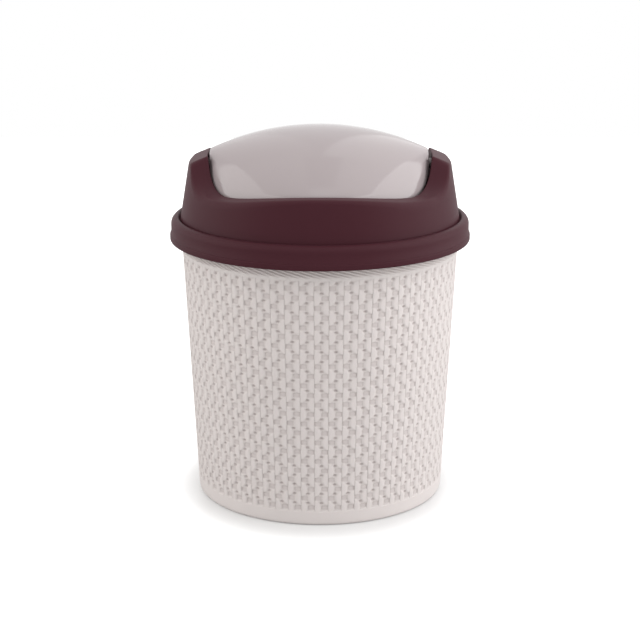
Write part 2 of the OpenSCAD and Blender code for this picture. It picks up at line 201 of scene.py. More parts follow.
class Graph:
    """One material's or world's node tree, emptied and ready to fill."""

    def __init__(self, owner: bpy.types.Material | bpy.types.World) -> None:
        """Turns the owner's nodes on and clears them."""
        owner.use_nodes = True
        self.tree = owner.node_tree
        self.tree.nodes.clear()

    def node(
        self,
        kind: str,
        settings: dict[str, Any] | None = None,
        inputs: dict[Any, Any] | None = None,
        out: int | str = 0,
    ) -> Value:
        """Adds a node of any type.

        Args:
            kind: the node's type.
            settings: attributes of the node, set before its sockets.
            inputs: socket name or index to value or link.
            out: which output to return.

        Returns:
            The chosen output.
        """
        node = self.tree.nodes.new(kind)
        for name, item in (settings or {}).items():
            setattr(node, name, item)
        for name, item in (inputs or {}).items():
            feed(self.tree, node.inputs[name], item)
        socket = node.outputs[out] if node.outputs else None
        return Value(self.tree, socket)

    def noise(self, scale: float, detail: float = 3.0, stretch: Triple = (1.0, 1.0, 1.0)) -> Value:
        """Noise on the object's own metres.

        Args:
            scale: cells for each metre.
            detail: octaves.
            stretch: factors on the three axes.

        Returns:
            The noise as a value from 0 to 1.
        """
        place = self.node("ShaderNodeTexCoord", out="Object")
        mapped = self.node("ShaderNodeMapping", inputs={"Vector": place, "Scale": stretch})
        sockets = {"Vector": mapped, "Scale": scale, "Detail": detail}
        return self.node("ShaderNodeTexNoise", inputs=sockets)

    def mixed(self, factor: Any, first: Any, second: Any) -> Value:
        """Mixes two colours.

        Args:
            factor: 0 gives the first and 1 the second.
            first: a colour or a value that carries one.
            second: likewise.

        Returns:
            The mixed colour.
        """
        node = self.tree.nodes.new("ShaderNodeMix")
        node.data_type = "RGBA"
        for name, item in (("Factor_Float", factor), ("A_Color", first), ("B_Color", second)):
            feed(self.tree, next(s for s in node.inputs if s.identifier == name), item)
        output = next(s for s in node.outputs if s.identifier == "Result_Color")
        return Value(self.tree, output)

    def bump(self, height: Value, strength: float, depth: float) -> Value:
        """A bumped normal.

        Args:
            height: the height, about 0 to 1.
            strength: share of the bump that is used.
            depth: metres that a height of 1 stands for.

        Returns:
            The normal.
        """
        sockets = {"Height": height, "Strength": strength, "Distance": depth}
        return self.node("ShaderNodeBump", inputs=sockets, out="Normal")

    def surface(self, inputs: dict[str, Any]) -> None:
        """Ends the tree in a Principled surface with these sockets."""
        shader = self.node("ShaderNodeBsdfPrincipled", inputs=inputs)
        self.node("ShaderNodeOutputMaterial", inputs={"Surface": shader})


# Finishes


def shade(colour: Colour, factor: float) -> Colour:
    """The colour times a factor."""
    return tuple(min(1.0, channel * factor) for channel in colour)


@dataclass(frozen=True)
class WovenPlastic:
    """Moulded off-white plastic, with painted shade that darkens its hollows."""

    name: str = "woven_offwhite_plastic"
    colour: Colour = (0.715, 0.660, 0.644)
    painted_hollow_shade: Colour = (0.56, 0.500, 0.486)
    roughness: float = 0.46
    specular: float = 0.30
    cloud_scale: float = 38.0
    cloud_dark: float = 0.975
    cloud_bright: float = 1.02
    cloud_rough: float = 0.08
    hollow_rough: float = 0.12
    grain_scale: float = 5200.0
    grain_strength: float = 0.35
    grain_depth: float = 0.00004

    def material(self) -> bpy.types.Material:
        """Makes the material; the mesh's relief attribute is 0 in the hollows and 1 on top, and darkens
        the hollows as painted shade.

        Returns:
            The material.
        """
        made = bpy.data.materials.new(self.name)
        graph = Graph(made)
        relief = graph.node("ShaderNodeAttribute", {"attribute_name": "relief"}, out="Fac")
        cloud = graph.noise(self.cloud_scale)
        grain = graph.noise(self.grain_scale, detail=2.0)
        dark, bright = shade(self.colour, self.cloud_dark), shade(self.colour, self.cloud_bright)
        # Painted shade: where the relief attribute falls towards 0, the hollows take a darker colour.
        colour = graph.mixed(relief, self.painted_hollow_shade, graph.mixed(cloud, dark, bright))
        rough = self.roughness + cloud.spread(self.cloud_rough) + (1.0 - relief) * self.hollow_rough
        graph.surface(
            {
                "Base Color": colour,
                "Roughness": rough,
                "Normal": graph.bump(grain, self.grain_strength, self.grain_depth),
                "Specular IOR Level": self.specular,
            }
        )
        return made


@dataclass(frozen=True)
class MattPlastic:
    """Dark plastic with a fine spark-eroded grain."""

    name: str = "aubergine_matt_plastic"
    colour: Colour = (0.0530, 0.0130, 0.0190)
    worn_colour: Colour = (0.0580, 0.0155, 0.0222)
    roughness: float = 0.46
    specular: float = 0.10
    cloud_scale: float = 30.0
    cloud_rough: float = 0.07
    grain_scale: float = 3600.0
    grain_rough: float = 0.10
    grain_strength: float = 0.5
    grain_depth: float = 0.00006

    def material(self) -> bpy.types.Material:
        """Makes the material.

        Returns:
            The material.
        """
        made = bpy.data.materials.new(self.name)
        graph = Graph(made)
        cloud = graph.noise(self.cloud_scale)
        grain = graph.noise(self.grain_scale)
        colour = graph.mixed(cloud, self.colour, self.worn_colour)
        rough = self.roughness + cloud.spread(self.cloud_rough) + grain.spread(self.grain_rough)
        graph.surface(
            {
                "Base Color": colour,
                "Roughness": rough,
                "Normal": graph.bump(grain, self.grain_strength, self.grain_depth),
                "Specular IOR Level": self.specular,
            }
        )
        return made


@dataclass(frozen=True)
class PolishedPlastic:
    """Pale plastic from a polished mould, with faint flow marks and dust-fine scratches."""

    name: str = "greige_polished_plastic"
    colour: Colour = (0.392, 0.340, 0.340)
    far_colour: Colour = (0.378, 0.326, 0.338)
    roughness: float = 0.11
    specular: float = 0.5
    flow_scale: float = 22.0
    flow_stretch: Triple = (1.0, 0.45, 1.0)
    flow_rough: float = 0.05
    flow_strength: float = 0.08
    flow_depth: float = 0.0006
    haze_scale: float = 900.0
    haze_stretch: Triple = (0.15, 1.0, 1.0)
    haze_rough: float = 0.03

    def material(self) -> bpy.types.Material:
        """Makes the material.

        Returns:
            The material.
        """
        made = bpy.data.materials.new(self.name)
        graph = Graph(made)
        flow = graph.noise(self.flow_scale, stretch=self.flow_stretch)
        haze = graph.noise(self.haze_scale, stretch=self.haze_stretch)
        colour = graph.mixed(flow, self.colour, self.far_colour)
        rough = self.roughness + flow.spread(self.flow_rough) + haze.spread(self.haze_rough)
        graph.surface(
            {
                "Base Color": colour,
                "Roughness": rough,
                "Normal": graph.bump(flow, self.flow_strength, self.flow_depth),
                "Specular IOR Level": self.specular,
            }
        )
        return made


PLASTIC_AS_MOULDED = PolishedPlastic(
    name="greige_moulded_plastic",
    colour=(0.42, 0.375, 0.37),
    far_colour=(0.40, 0.36, 0.355),
    roughness=0.38,
)


@dataclass(frozen=True)
class DrawnSteel:
    """Bright drawn bar with fine streaks along its length."""

    name: str = "drawn_steel"
    colour: Colour = (0.60, 0.60, 0.61)
    streak_colour: Colour = (0.50, 0.50, 0.51)
    roughness: float = 0.30
    streak_scale: float = 1800.0
    streak_stretch: Triple = (0.03, 1.0, 1.0)
    streak_rough: float = 0.2
    streak_strength: float = 0.25
    streak_depth: float = 0.00003

    def material(self) -> bpy.types.Material:
        """Makes the material.

        Returns:
            The material.
        """
        made = bpy.data.materials.new(self.name)
        graph = Graph(made)
        streak = graph.noise(self.streak_scale, stretch=self.streak_stretch)
        graph.surface(
            {
                "Base Color": graph.mixed(streak, self.colour, self.streak_colour),
                "Metallic": 1.0,
                "Roughness": self.roughness + streak.spread(self.streak_rough),
                "Normal": graph.bump(streak, self.streak_strength, self.streak_depth),
            }
        )
        return made


# Meshes


def mesh_object(name: str, points: Array, faces: Sequence[Sequence[int]]) -> bpy.types.Object:
    """Makes a smooth-shaded mesh object from points in millimetres.

    Args:
        name: the object's name.
        points: one row for each vertex.
        faces: vertex indices of each face.

    Returns:
        The object, in the scene.
    """
    mesh = bpy.data.meshes.new(name)
    mesh.from_pydata((points * MM).tolist(), [], [list(map(int, face)) for face in faces])
    mesh.validate()
    mesh.shade_smooth()
    made = bpy.data.objects.new(name, mesh)
    bpy.context.scene.collection.objects.link(made)
    return made


def ring_quads(first: int, second: int, count: int) -> Array:
    """Quads between two rings of the same count, wound outwards when the second is above.

    Args:
        first: index of the lower ring's first vertex.
        second: index of the upper ring's first vertex.
        count: vertices in each ring.

    Returns:
        One row of four indices for each quad.
    """
    here = np.arange(count)
    after = (here + 1) % count
    return np.stack([first + here, first + after, second + after, second + here], axis=1)


def stacked_quads(rings: int, count: int, closed: bool = False) -> Array:
    """Quads between rings that follow each other and have the same count.

    Args:
        rings: how many rings there are.
        count: vertices in each ring.
        closed: whether the last ring joins the first.

    Returns:
        One row of four indices for each quad.
    """
    spans = rings if closed else rings - 1
    quads = [
        ring_quads(place * count, (place + 1) % rings * count, count) for place in range(spans)
    ]
    return np.concatenate(quads)


def in_plan(radius: Array, angles: Array) -> tuple[Array, Array]:
    """Places across and along the object for a radius in each direction."""
    return radius * np.sin(angles), -radius * np.cos(angles)


def revolved(angles: Array, radii: Array | float, height: Array | float) -> Array:
    """Points of one ring.

    Args:
        angles: directions, in radians, 0 at the front.
        radii: one radius for each direction, or one for all.
        height: one height for each direction, or one for all.

    Returns:
        One row for each direction.
    """
    x, y = in_plan(np.broadcast_to(radii, angles.shape), angles)
    return np.stack([x, y, np.broadcast_to(height, angles.shape)], axis=1)


def arc(centre: tuple[float, float], radius: float, start: float, end: float, steps: int) -> Array:
    """Points of an arc in a profile.

    Args:
        centre: radius and height of the arc's centre.
        radius: the arc's radius.
        start: first angle, in degrees.
        end: last angle, in degrees.
        steps: steps along it.

    Returns:
        One row of radius and height for each point.
    """
    angles = np.radians(np.linspace(start, end, steps + 1))
    return np.stack([centre[0] + radius * np.cos(angles), centre[1] + radius * np.sin(angles)], 1)


def rounded(start: Array, corner: Array, end: Array, share: float) -> Array:
    """A place on the curve that rounds a corner, from 0 at its start to 1 at its end."""
    return (1 - share) ** 2 * start + 2 * share * (1 - share) * corner + share * share * end


def slope_factor(surface: Callable[[Array, Array], Array], x: Array, y: Array) -> Array:
    """How much taller than thick a wall stands under a sloping surface.

    Args:
        surface: gives the surface's height at a place.
        x: places across.
        y: places along.

    Returns:
        Upright thickness over true thickness, one for each place.
    """
    along_x = (surface(x + SLOPE_STEP, y) - surface(x - SLOPE_STEP, y)) / (2 * SLOPE_STEP)
    along_y = (surface(x, y + SLOPE_STEP) - surface(x, y - SLOPE_STEP)) / (2 * SLOPE_STEP)
    return np.sqrt(1 + along_x**2 + along_y**2)


def quarter_round(share: Array) -> Array:
    """Height of a rounded edge, 0 at its foot and 1 on top."""
    held = np.clip(share, 0.0, 1.0)
    return np.sqrt(np.clip(1.0 - (1.0 - held) ** 2, 0.0, 1.0))


def domed(share: Array) -> Array:
    """Height of an edge that rises more slowly towards its top, 0 at its foot and 1 on top."""
    held = np.clip(share, 0.0, 1.0)
    return held * (2.0 - held)


def smooth_step(share: Array) -> Array:
    """A smooth rise from 0 to 1."""
    held = np.clip(share, 0.0, 1.0)
    return held * held * (3.0 - 2.0 * held)


def dress(piece: bpy.types.Object, material: bpy.types.Material) -> None:
    """Gives a piece its only material.

    Args:
        piece: the piece to dress.
        material: what it is made of.
    """
    piece.data.materials.clear()
    piece.data.materials.append(material)


def seat(piece: bpy.types.Object, body: Body, node: str) -> bpy.types.Object:
    """Lets a piece ride on a body and stand for a CAD node.

    Args:
        piece: the finished piece.
        body: what it rides on.
        node: the CAD node that it stands for.

    Returns:
        The piece.
    """
    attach(piece, body.value)
    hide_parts(node)
    LOG.info("%s rides on %s, %d faces", piece.name, body.value, len(piece.data.polygons))
    return piece


# The bucket


@dataclass
class Weave:
    """The moulded weave: upright half-moon strands in pairs, with cross strands between them.

    Heights inside a cell are shares of the relief's depth, from 0 in a hole to 1 on a strand.
    Widths across are shares of half a column, and lengths upwards are shares of a cycle.
    """

    columns: int = 61
    column_start: float = 3.5
    cycle: float = 10.67
    first_middle: float = 10.3
    low: float = 8.0
    high: float = 137.2
    depth: float = 1.10
    strand_half: float = 0.40
    strand_reach: float = 0.93
    strand_power: float = 2.0
    strand_edge: float = 0.36
    shoulder: float = 0.34
    shoulder_drop: float = 0.30
    plateau: float = 0.72
    groove: float = 0.06
    groove_drop: float = 0.30
    cross_half: float = 0.135
    cross_reach: float = 1.10
    cross_power: float = 2.8
    cross_floor: float = 0.22
    cross_crown: float = 0.30
    pocket_edge: float = 1.12
    pocket_blend: float = 0.30
    hole_half_w: float = 0.24
    hole_half_h: float = 0.068
    hole_edge: float = 1.35
    hole_blend: float = 0.9
    edge_blend: float = 0.35
    line_places: tuple[float, ...] = (0.0, 0.055, 0.13, 0.23, 0.35, 0.47, 0.59, 0.71, 0.82, 0.91)

    def angles(self) -> Array:
        """Directions of the mesh lines: closer together at the grooves.

        Returns:
            Angles, in radians, 0 at the front.
        """
        half = np.array(self.line_places)
        column = np.concatenate([half, [1.0], 2.0 - half[:0:-1]]) / 2.0
        places = (np.arange(self.columns)[:, None] + column[None, :]).ravel()
        return math.radians(self.column_start) + TURN * places / self.columns

    def fill(self, angles: Array, height: float) -> Array:
        """Share of the relief's depth that is filled, from 0 in a hole to 1 on a strand.

        Args:
            angles: directions round the bucket, in radians, 0 at the front.
            height: height above the worktop.

        Returns:
            One share for each angle.
        """
        pitch = TURN / self.columns
        place = ((angles - math.radians(self.column_start)) / pitch) % 1.0
        left = place < 0.5
        across = np.where(left, 2.0 * place, 2.0 * (1.0 - place))
        middle = np.where(left, self.first_middle, self.first_middle + self.cycle / 2)
        along = np.abs(((height - middle) / self.cycle + 0.5) % 1.0 - 0.5)
        cross = (np.abs(2.0 * across - 1.0) / self.cross_reach) ** self.cross_power
        cross = cross + ((0.5 - along) / self.cross_half) ** self.cross_power
        pocket = smooth_step((self.pocket_edge - cross) / self.pocket_blend)
        pocket_floor = self.cross_floor + self.cross_crown * np.clip(1.0 - cross, 0.0, 1.0)
        ground = self.plateau + (pocket_floor - self.plateau) * pocket
        hole = ((1.0 - across) / self.hole_half_w) ** 2 + ((along - 0.25) / self.hole_half_h) ** 2
        ground = ground * (1.0 - smooth_step((self.hole_edge - hole) / self.hole_blend))
        share = np.clip(along / self.strand_half, 0.0, 1.0)
        reach = self.strand_reach * (1.0 - share**self.strand_power) ** (1.0 / self.strand_power)
        strand = domed((reach - across) / self.strand_edge)
        strand = strand * (1.0 - self.shoulder_drop * (1.0 - domed(across / self.shoulder)))
        filled = ground + (1.0 - ground) * strand
        filled = filled * (1.0 - self.groove_drop * (1.0 - domed(across / self.groove)))
        over = (height - self.high + self.edge_blend) / self.edge_blend
        under = (self.low + self.edge_blend - height) / self.edge_blend
        return np.maximum(filled, quarter_round(np.array(max(over, under))))


@dataclass
class RopeBand:
    """The twisted band under the collar."""

    strands: int = 88
    rise: float = 1.64
    half_height: float = 3.0
    middle: float = 141.4
    proud: float = 0.62
    cut: float = 0.32
    ridge_power: float = 0.7
    edge_power: int = 4

    def round_off(self, height: float) -> float:
        """Share of its full height that the band has at a height, 0 at its edges."""
        place = (height - self.middle) / self.half_height
        return math.sqrt(max(0.0, 1.0 - place**self.edge_power))

    def ridge(self, angles: Array, height: float) -> Array:
        """Share of a strand's height, from 0 in a valley to 1 on its ridge."""
        turn = self.strands * angles + TURN * height / self.rise
        return (0.5 + 0.5 * np.cos(turn)) ** self.ridge_power

    def stand_out(self, angles: Array, height: float) -> Array:
        """Height that the band stands out of the wall.

        Args:
            angles: directions round the bucket, in radians.
            height: height above the worktop.

        Returns:
            One value for each angle, in millimetres.
        """
        ridge = self.ridge(angles, height)
        return self.round_off(height) * ((self.proud + self.cut) * ridge - self.cut)

    def fill(self, angles: Array, height: float) -> Array:
        """Relief for the material's painted shade, from 0 in a valley to 1 on a ridge and at the band's
        edges.
        """
        return 1.0 - self.round_off(height) * (1.0 - self.ridge(angles, height))


@dataclass
class Bucket:
    """The tapered bucket with its relief, foot ring, rim and inside."""

    base_r: float = 68.9
    draft: float = 2.9
    wall: float = 1.8
    floor: float = 2.2
    base_round: float = 2.0
    foot_w: float = 8.0
    foot_recess: float = 1.2
    rim_reach: float = 3.2
    rim_lip_drop: float = 5.5
    rim_lip_t: float = 1.4
    rim_round: float = 0.6
    rim_soft: float = 0.25
    lip_soft: float = 0.4
    foot_soft: float = 0.3
    relief_margin: float = 1.0
    plain_ring_gap: float = 0.4
    weave: Weave = field(default_factory=Weave)
    rope: RopeBand = field(default_factory=RopeBand)
    rows_per_cycle: int = 22
    rope_step: float = 0.3

    def __post_init__(self) -> None:
        """Reads the rim's height off the frame and works out what follows from it."""
        self.rim_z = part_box("bin_bucket")[1].z / MM
        self.slope = math.tan(math.radians(self.draft))
        self.fine_angles = self.weave.angles()
        self.fine = len(self.fine_angles)
        self.coarse = self.weave.columns * 2
        self.coarse_angles = self.fine_angles[:: self.fine // self.coarse]

    def radius(self, height: float) -> float:
        """Outer radius of the wall at a height."""
        return self.base_r + height * self.slope

    def _under(self) -> Array:
        """Profile from the middle of the underside to the foot of the relief.

        Returns:
            One row of radius and height for each point.
        """
        ring_r = self.base_r - self.base_round - self.foot_w
        soft = self.foot_soft
        recess = [[ring_r * share, self.foot_recess] for share in (0.25, 0.6, 0.97)]
        ring = [
            [ring_r - soft, self.foot_recess],
            [ring_r, self.foot_recess - soft],
            [ring_r, soft],
            [ring_r + soft, 0.0],
        ]
        base = arc((self.base_r - self.base_round, self.base_round), self.base_round, -90, 0, 8)
        heights = np.linspace(self.base_round, self.weave.low - self.relief_margin, 5)[1:]
        plain = [[self.radius(z), z] for z in heights]
        return np.concatenate([np.array(recess), np.array(ring), base, np.array(plain)])

    def _over(self) -> Array:
        """Profile from above the rope band over the rim and down the inside to the floor.

        Returns:
            One row of radius and height for each point.
        """
        outer_r = self.radius(self.rim_z) + self.rim_reach
        wall_top = self.rim_z - self.wall
        wall_end = self.radius(wall_top) + self.rim_round
        lip_in_r = outer_r - self.rim_lip_t
        lip_z = self.rim_z - self.rim_lip_drop
        start = self.rope.middle + self.rope.half_height + self.relief_margin
        inner_low = self.foot_recess + self.floor + self.base_round
        inner_r = self.radius(inner_low) - self.wall - self.base_round
        soft = self.rim_soft
        wall = np.linspace(start, wall_top - self.rim_round, 6)
        inside = np.linspace(self.rim_z - soft, inner_low, 14)
        parts = [
            [[self.radius(z), z] for z in wall],
            [[wall_end, wall_top], [lip_in_r - self.lip_soft, wall_top]],
            [[lip_in_r, wall_top - self.lip_soft], [lip_in_r, lip_z + soft]],
            [[lip_in_r + soft, lip_z], [outer_r - soft, lip_z], [outer_r, lip_z + soft]],
            arc((outer_r - self.rim_round, self.rim_z - self.rim_round), self.rim_round, 0, 90, 6),
            [[self.radius(self.rim_z) - self.wall + soft, self.rim_z]],
            [[self.radius(z) - self.wall, z] for z in inside],
            arc((inner_r, inner_low), self.base_round, 0, -90, 6)[1:],
            [[self.base_r * share, self.foot_recess + self.floor] for share in (0.85, 0.6, 0.35, 0.12)],
        ]
        return np.concatenate([np.array(part, dtype=float) for part in parts])

    def _rows(self) -> list[float]:
        """Heights of the fine rows of the relief and of the rope band.

        Returns:
            The heights, from the lowest up.
        """
        weave = self.weave
        step = weave.cycle / self.rows_per_cycle
        first = math.ceil((weave.low - weave.first_middle) / step)
        last = math.floor((weave.high - weave.first_middle) / step)
        inner = weave.first_middle + step * np.arange(first, last + 1)
        blend = weave.edge_blend / 3
        relief = [weave.low, weave.low + blend, *inner[inner > weave.low + 2 * blend]]
        relief = [z for z in relief if z < weave.high - 2 * blend] + [weave.high - blend, weave.high]
        low = self.rope.middle - self.rope.half_height
        high = self.rope.middle + self.rope.half_height
        rope = np.linspace(low, high, round((high - low) / self.rope_step) + 1)
        return [weave.low - self.plain_ring_gap, *relief, *rope, high + self.plain_ring_gap]

    def build(self) -> bpy.types.Object:
        """Builds the bucket as one closed mesh.

        Returns:
            The bucket, with a relief attribute on its points.
        """
        under, over, rows = self._under(), self._over(), self._rows()
        rings: list[Array] = [revolved(self.coarse_angles, r, z) for r, z in under]
        marks: list[Array] = [np.ones(self.coarse)] * len(rings)
        rope_low = self.rope.middle - self.rope.half_height
        for height in rows:
            filled = np.ones(self.fine)
            radii = np.full(self.fine, self.radius(height))
            if self.weave.low <= height <= self.weave.high:
                filled = self.weave.fill(self.fine_angles, height)
                radii = radii - self.weave.depth * (1.0 - filled)
            elif rope_low <= height <= self.rope.middle + self.rope.half_height:
                filled = self.rope.fill(self.fine_angles, height)
                radii = radii + self.rope.stand_out(self.fine_angles, height)
            rings.append(revolved(self.fine_angles, radii, height))
            marks.append(filled)
        rings += [revolved(self.coarse_angles, r, z) for r, z in over]
        marks += [np.ones(self.coarse)] * len(over)
        counts = [len(ring) for ring in rings]
        starts = np.cumsum([0, *counts])
        faces: Faces = []
        for place, (count, next_count) in enumerate(zip(counts, counts[1:])):
            faces.extend(self._join(starts[place], count, starts[place + 1], next_count))
        points = np.concatenate(rings)
        bottom = len(points)
        points = np.concatenate(
            [points, [[0, 0, self.foot_recess], [0, 0, self.foot_recess + self.floor]]]
        )
        last = starts[-2]
        for here in range(self.coarse):
            after = (here + 1) % self.coarse
            faces.append([bottom, after, here])
            faces.append([bottom + 1, last + here, last + after])
        made = mesh_object("bucket_woven", points, faces)
        relief = made.data.attributes.new("relief", "FLOAT", "POINT")
        relief.data.foreach_set("value", np.concatenate([*marks, [1.0, 1.0]]).astype(np.float32))
        made.data.set_sharp_from_angle(angle=RELIEF_SHARP_ANGLE)
        self._soften(made.data, starts[len(under)], starts[len(under) + len(rows)])
        return made

    @staticmethod
    def _soften(mesh: bpy.types.Mesh, first: int, last: int) -> None:
        """Clears the sharp marks between the vertices of the relief's own rings.

        Args:
            mesh: the bucket's mesh.
            first: index of the relief's first vertex.
            last: index after its last vertex.
        """
        ends = np.empty(2 * len(mesh.edges), dtype=np.int64)
        mesh.edges.foreach_get("vertices", ends)
        inside = ((ends >= first) & (ends < last)).reshape(-1, 2).all(axis=1)
        marks = mesh.attributes.get("sharp_edge")
        if marks is None:
            return
        sharp = np.empty(len(mesh.edges), dtype=bool)
        marks.data.foreach_get("value", sharp)
        marks.data.foreach_set("value", sharp & ~inside)

    def _join(self, first: int, count: int, second: int, next_count: int) -> Faces:
        """Faces between two rings, one of which may be finer by a whole factor.

        Args:
            first: index of the lower ring's first vertex.
            count: vertices in the lower ring.
            second: index of the upper ring's first vertex.
            next_count: vertices in the upper ring.

        Returns:
            Vertex indices of each face.
        """
        if count == next_count:
            return ring_quads(first, second, count).tolist()
        fine_below = count > next_count
        ratio = max(count, next_count) // min(count, next_count)
        faces: Faces = []
        for here in range(self.coarse):
            after = (here + 1) % self.coarse
            run = [(here * ratio + step) % self.fine for step in range(ratio + 1)]
            if fine_below:
                faces.append([first + k for k in run] + [second + after, second + here])
            else:
                faces.append([first + here, first + after] + [second + k for k in reversed(run)])
        return faces


# The collar


def soft_max(first: Array, second: Array, width: float) -> Array:
    """Larger of two heights, blended where they are close."""
    return (first + second + np.sqrt((first - second) ** 2 + width**2)) / 2


def soft_min(first: Array, second: Array, width: float) -> Array:
    """Smaller of two heights, blended where they are close."""
    return (first + second - np.sqrt((first - second) ** 2 + width**2)) / 2


def arc_drop(distance: Array, radius: Array | float) -> Array:
    """Drop of a circle at a distance from its top."""
    return radius - np.sqrt(radius**2 - distance**2)


def oval(angles: Array, half_w: float, front_r: float, bow: float, soft: float = 0.5) -> Array:
    """Radius of an oval with two flat sides.

    Args:
        angles: directions, in radians, 0 at the front.
        half_w: distance to each flat side.
        front_r: distance to the front and the back.
        bow: distance that the whole oval would pass the flat sides.
        soft: rounding where the flat sides begin.

    Returns:
        One radius for each direction.
    """
    side = half_w / np.maximum(np.abs(np.sin(angles)), NEAR_ZERO)
    curve = ((np.sin(angles) / (half_w + bow)) ** 2 + (np.cos(angles) / front_r) ** 2) ** -0.5
    return soft_min(side, curve, soft)


@dataclass
class Collar:
    """The lift-off collar: skirt, shoulder, sloping crown and two ears round the opening."""

    rim_z: float = 153.0
    lid_wall: float = 1.8
    skirt_drop: float = 9.2
    bead_h: float = 3.4
    bead_proud: float = 0.7
    bead_ease: float = 0.15
    shoulder_rise: float = 3.5
    valley_w: float = 1.3
    valley_d: float = 1.7
    valley_lip: tuple[float, float] = (0.22, 0.14)
    valley_foot: tuple[tuple[float, float], ...] = ((0.28, 0.30), (0.05, 0.08))
    crown_step: float = 5.15
    crown_draft: float = 9.4
    deck_rise: float = 25.6
    deck_arc_r: float = 220.0
    dip_rise: float = 20.7
    ear_rise: float = 50.1
    ear_arc_r: float = 165.0
    ear_half_len: float = 15.8
    flank_r: float = 27.5
    flank_limit: float = 0.995
    ear_round: float = 1.4
    deck_w: float = 11.4
    ear_w: float = 15.9
    side_bow: float = 1.0
    throat_drop: float = 5.2
    deck_round: float = 3.8
    round_fade: float = 3.0
    flank_soft: float = 4.0
    deck_soft: float = 1.2
    edge_soft: float = 0.5
    rim_soft: float = 0.25
    seat_soft: float = 0.3
    seat_ease: tuple[float, float] = (0.1, 0.05)
    bore_r: float = 2.55
    boss_r: float = 4.2
    boss_len: float = 4.8
    boss_start: float = 0.1
    boss_soft: float = 0.3
    boss_turns: int = 48
    turns: int = 480
    settling: int = 12
    wall_steps: int = 16
    edge_steps: int = 10
    deck_steps: int = 18
    throat_steps: int = 8
    under_steps: int = 12
    inner_steps: int = 8

    def __post_init__(self) -> None:
        """Reads the collar's reach off the frame and works out what follows from it."""
        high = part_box("lid_collar")[1]
        self.skirt_out_r = high.x / MM - self.bead_proud
        self.skirt_in_r = self.skirt_out_r - self.lid_wall
        self.skirt_bottom = self.rim_z - self.skirt_drop
        self.shoulder_top = self.rim_z + self.shoulder_rise
        self.valley_z = self.shoulder_top - self.valley_d
        self.crown_r = self.skirt_out_r - self.crown_step
        self.shoulder_r = self.crown_r + self.valley_w
        self.shoulder_round = self.skirt_out_r - self.shoulder_r
        self.crown_slope = math.tan(math.radians(self.crown_draft))
        self.open_r = self.crown_r - self.deck_w
        self.open_half_w = self.crown_r - self.ear_w
        self.deck_z = self.rim_z + self.deck_rise
        self.dip_z = self.rim_z + self.dip_rise
        self.ear_arc_z = self.rim_z + self.ear_rise - self.ear_arc_r
        self.flank_z = self.dip_z + self.flank_r
        self.throat_bottom = self.dip_z - self.throat_drop
        self.ear_side_z = self.ear_arc_z + math.sqrt(self.ear_arc_r**2 - self.open_half_w**2)
        rest = self.flank_z - self.ear_side_z
        self.flank_y = self.ear_half_len + math.sqrt(self.flank_r**2 - rest**2)

    def crown_out_r(self, height: Array) -> Array:
        """Outer radius of the crown at a height."""
        return self.crown_r - (height - self.valley_z) * self.crown_slope

    def top(self, x: Array, y: Array) -> Array:
        """Height of the crown's upper face.

        Args:
            x: places across.
            y: places along.

        Returns:
            One height for each place.
        """
        reach = np.clip(self.flank_y - np.abs(y), 0.0, self.flank_limit * self.flank_r)
        flank = self.flank_z - np.sqrt(self.flank_r**2 - reach**2)
        ear = self.ear_arc_z + np.sqrt(self.ear_arc_r**2 - x**2)
        deck = self.deck_z - arc_drop(x, self.deck_arc_r)
        return soft_max(deck, soft_min(flank, ear, self.flank_soft), self.deck_soft)

    def top_at(self, radius: Array, angles: Array) -> Array:
        """The same height in polar form."""
        return self.top(*in_plan(radius, angles))

    def under_at(self, radius: Array, angles: Array) -> Array:
        """Height of the crown's under face, in polar form."""
        x, y = in_plan(radius, angles)
        return self.top(x, y) - self.lid_wall * slope_factor(self.top, x, y)

    def opening(self, angles: Array) -> Array:
        """Radius of the opening in each direction."""
        return oval(angles, self.open_half_w, self.open_r, self.side_bow)

    def _skirt(self) -> list[ProfilePoint]:
        """Skirt, bead, shoulder and valley, which are alike in every direction.

        Returns:
            Radii and heights, from the skirt's inner edge outwards and up.
        """
        bottom = self.skirt_bottom
        bead_top = bottom + self.bead_h
        bead_low = (self.skirt_out_r, bottom + self.bead_proud)
        bead_high = (self.skirt_out_r, bead_top - self.bead_proud)
        shoulder = (self.shoulder_r, self.shoulder_top - self.shoulder_round)
        lip_in, lip_down = self.valley_lip
        return [
            (self.skirt_in_r, bottom + self.rim_soft),
            (self.skirt_in_r + self.rim_soft, bottom),
            *arc(bead_low, self.bead_proud, -90, 0, 6),
            *arc(bead_high, self.bead_proud, 0, 80, 6),
            (self.skirt_out_r, bead_top + self.bead_ease),
            *arc(shoulder, self.shoulder_round, 0, 88, 12),
            (self.shoulder_r - lip_in, self.shoulder_top - lip_down),
            *((self.crown_r + out, self.valley_z + up) for out, up in self.valley_foot),
        ]

